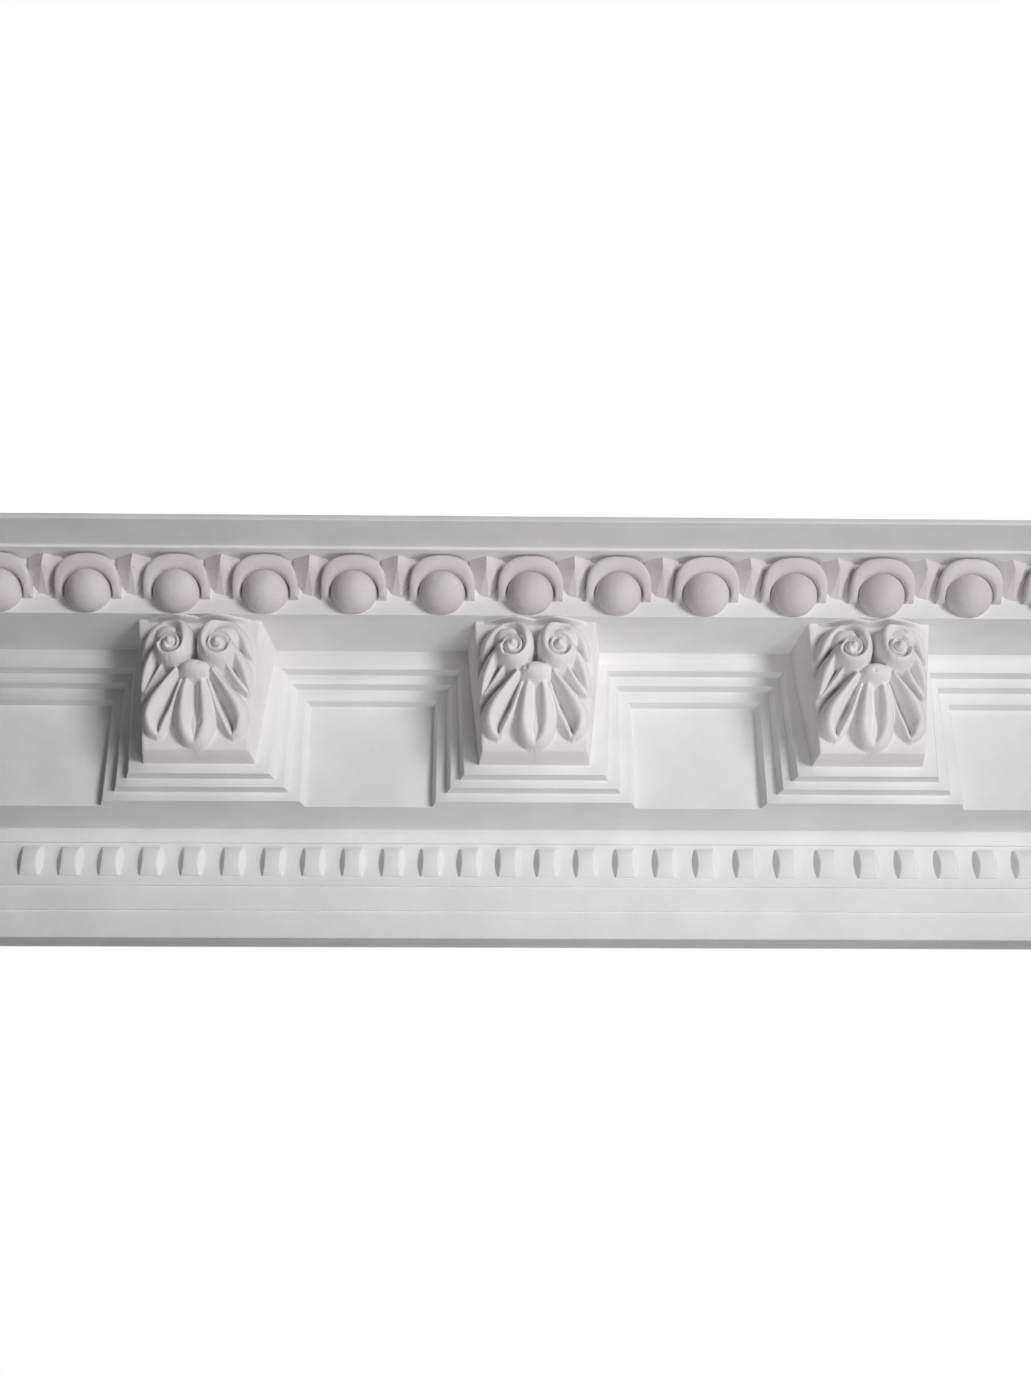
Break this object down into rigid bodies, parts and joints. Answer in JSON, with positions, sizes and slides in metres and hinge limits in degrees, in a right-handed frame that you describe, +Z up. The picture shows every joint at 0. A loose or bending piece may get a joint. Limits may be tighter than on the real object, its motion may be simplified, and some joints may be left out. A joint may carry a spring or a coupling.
{
  "type": "cornice moulding length",
  "caption": "Straight length of white plaster cornice: egg-and-dart crown, scrolled leaf modillions over stepped sunk panels, dentil bed mould and a hollow back.",
  "frame": {"origin": "on the wall face, at the middle of the run's length and the middle of the strip that meets the wall", "axes": "+X along the run, to the right as seen from the room; +Y into the wall; +Z up to the ceiling; the carved front faces -Y"},
  "size_m": [0.83, 0.225, 0.253],
  "materials": {
    "plaster": "matt white painted gypsum plaster"
  },
  "bodies": {
    "root": {"cornice_length": "plaster"}
  },
  "joints": []
}
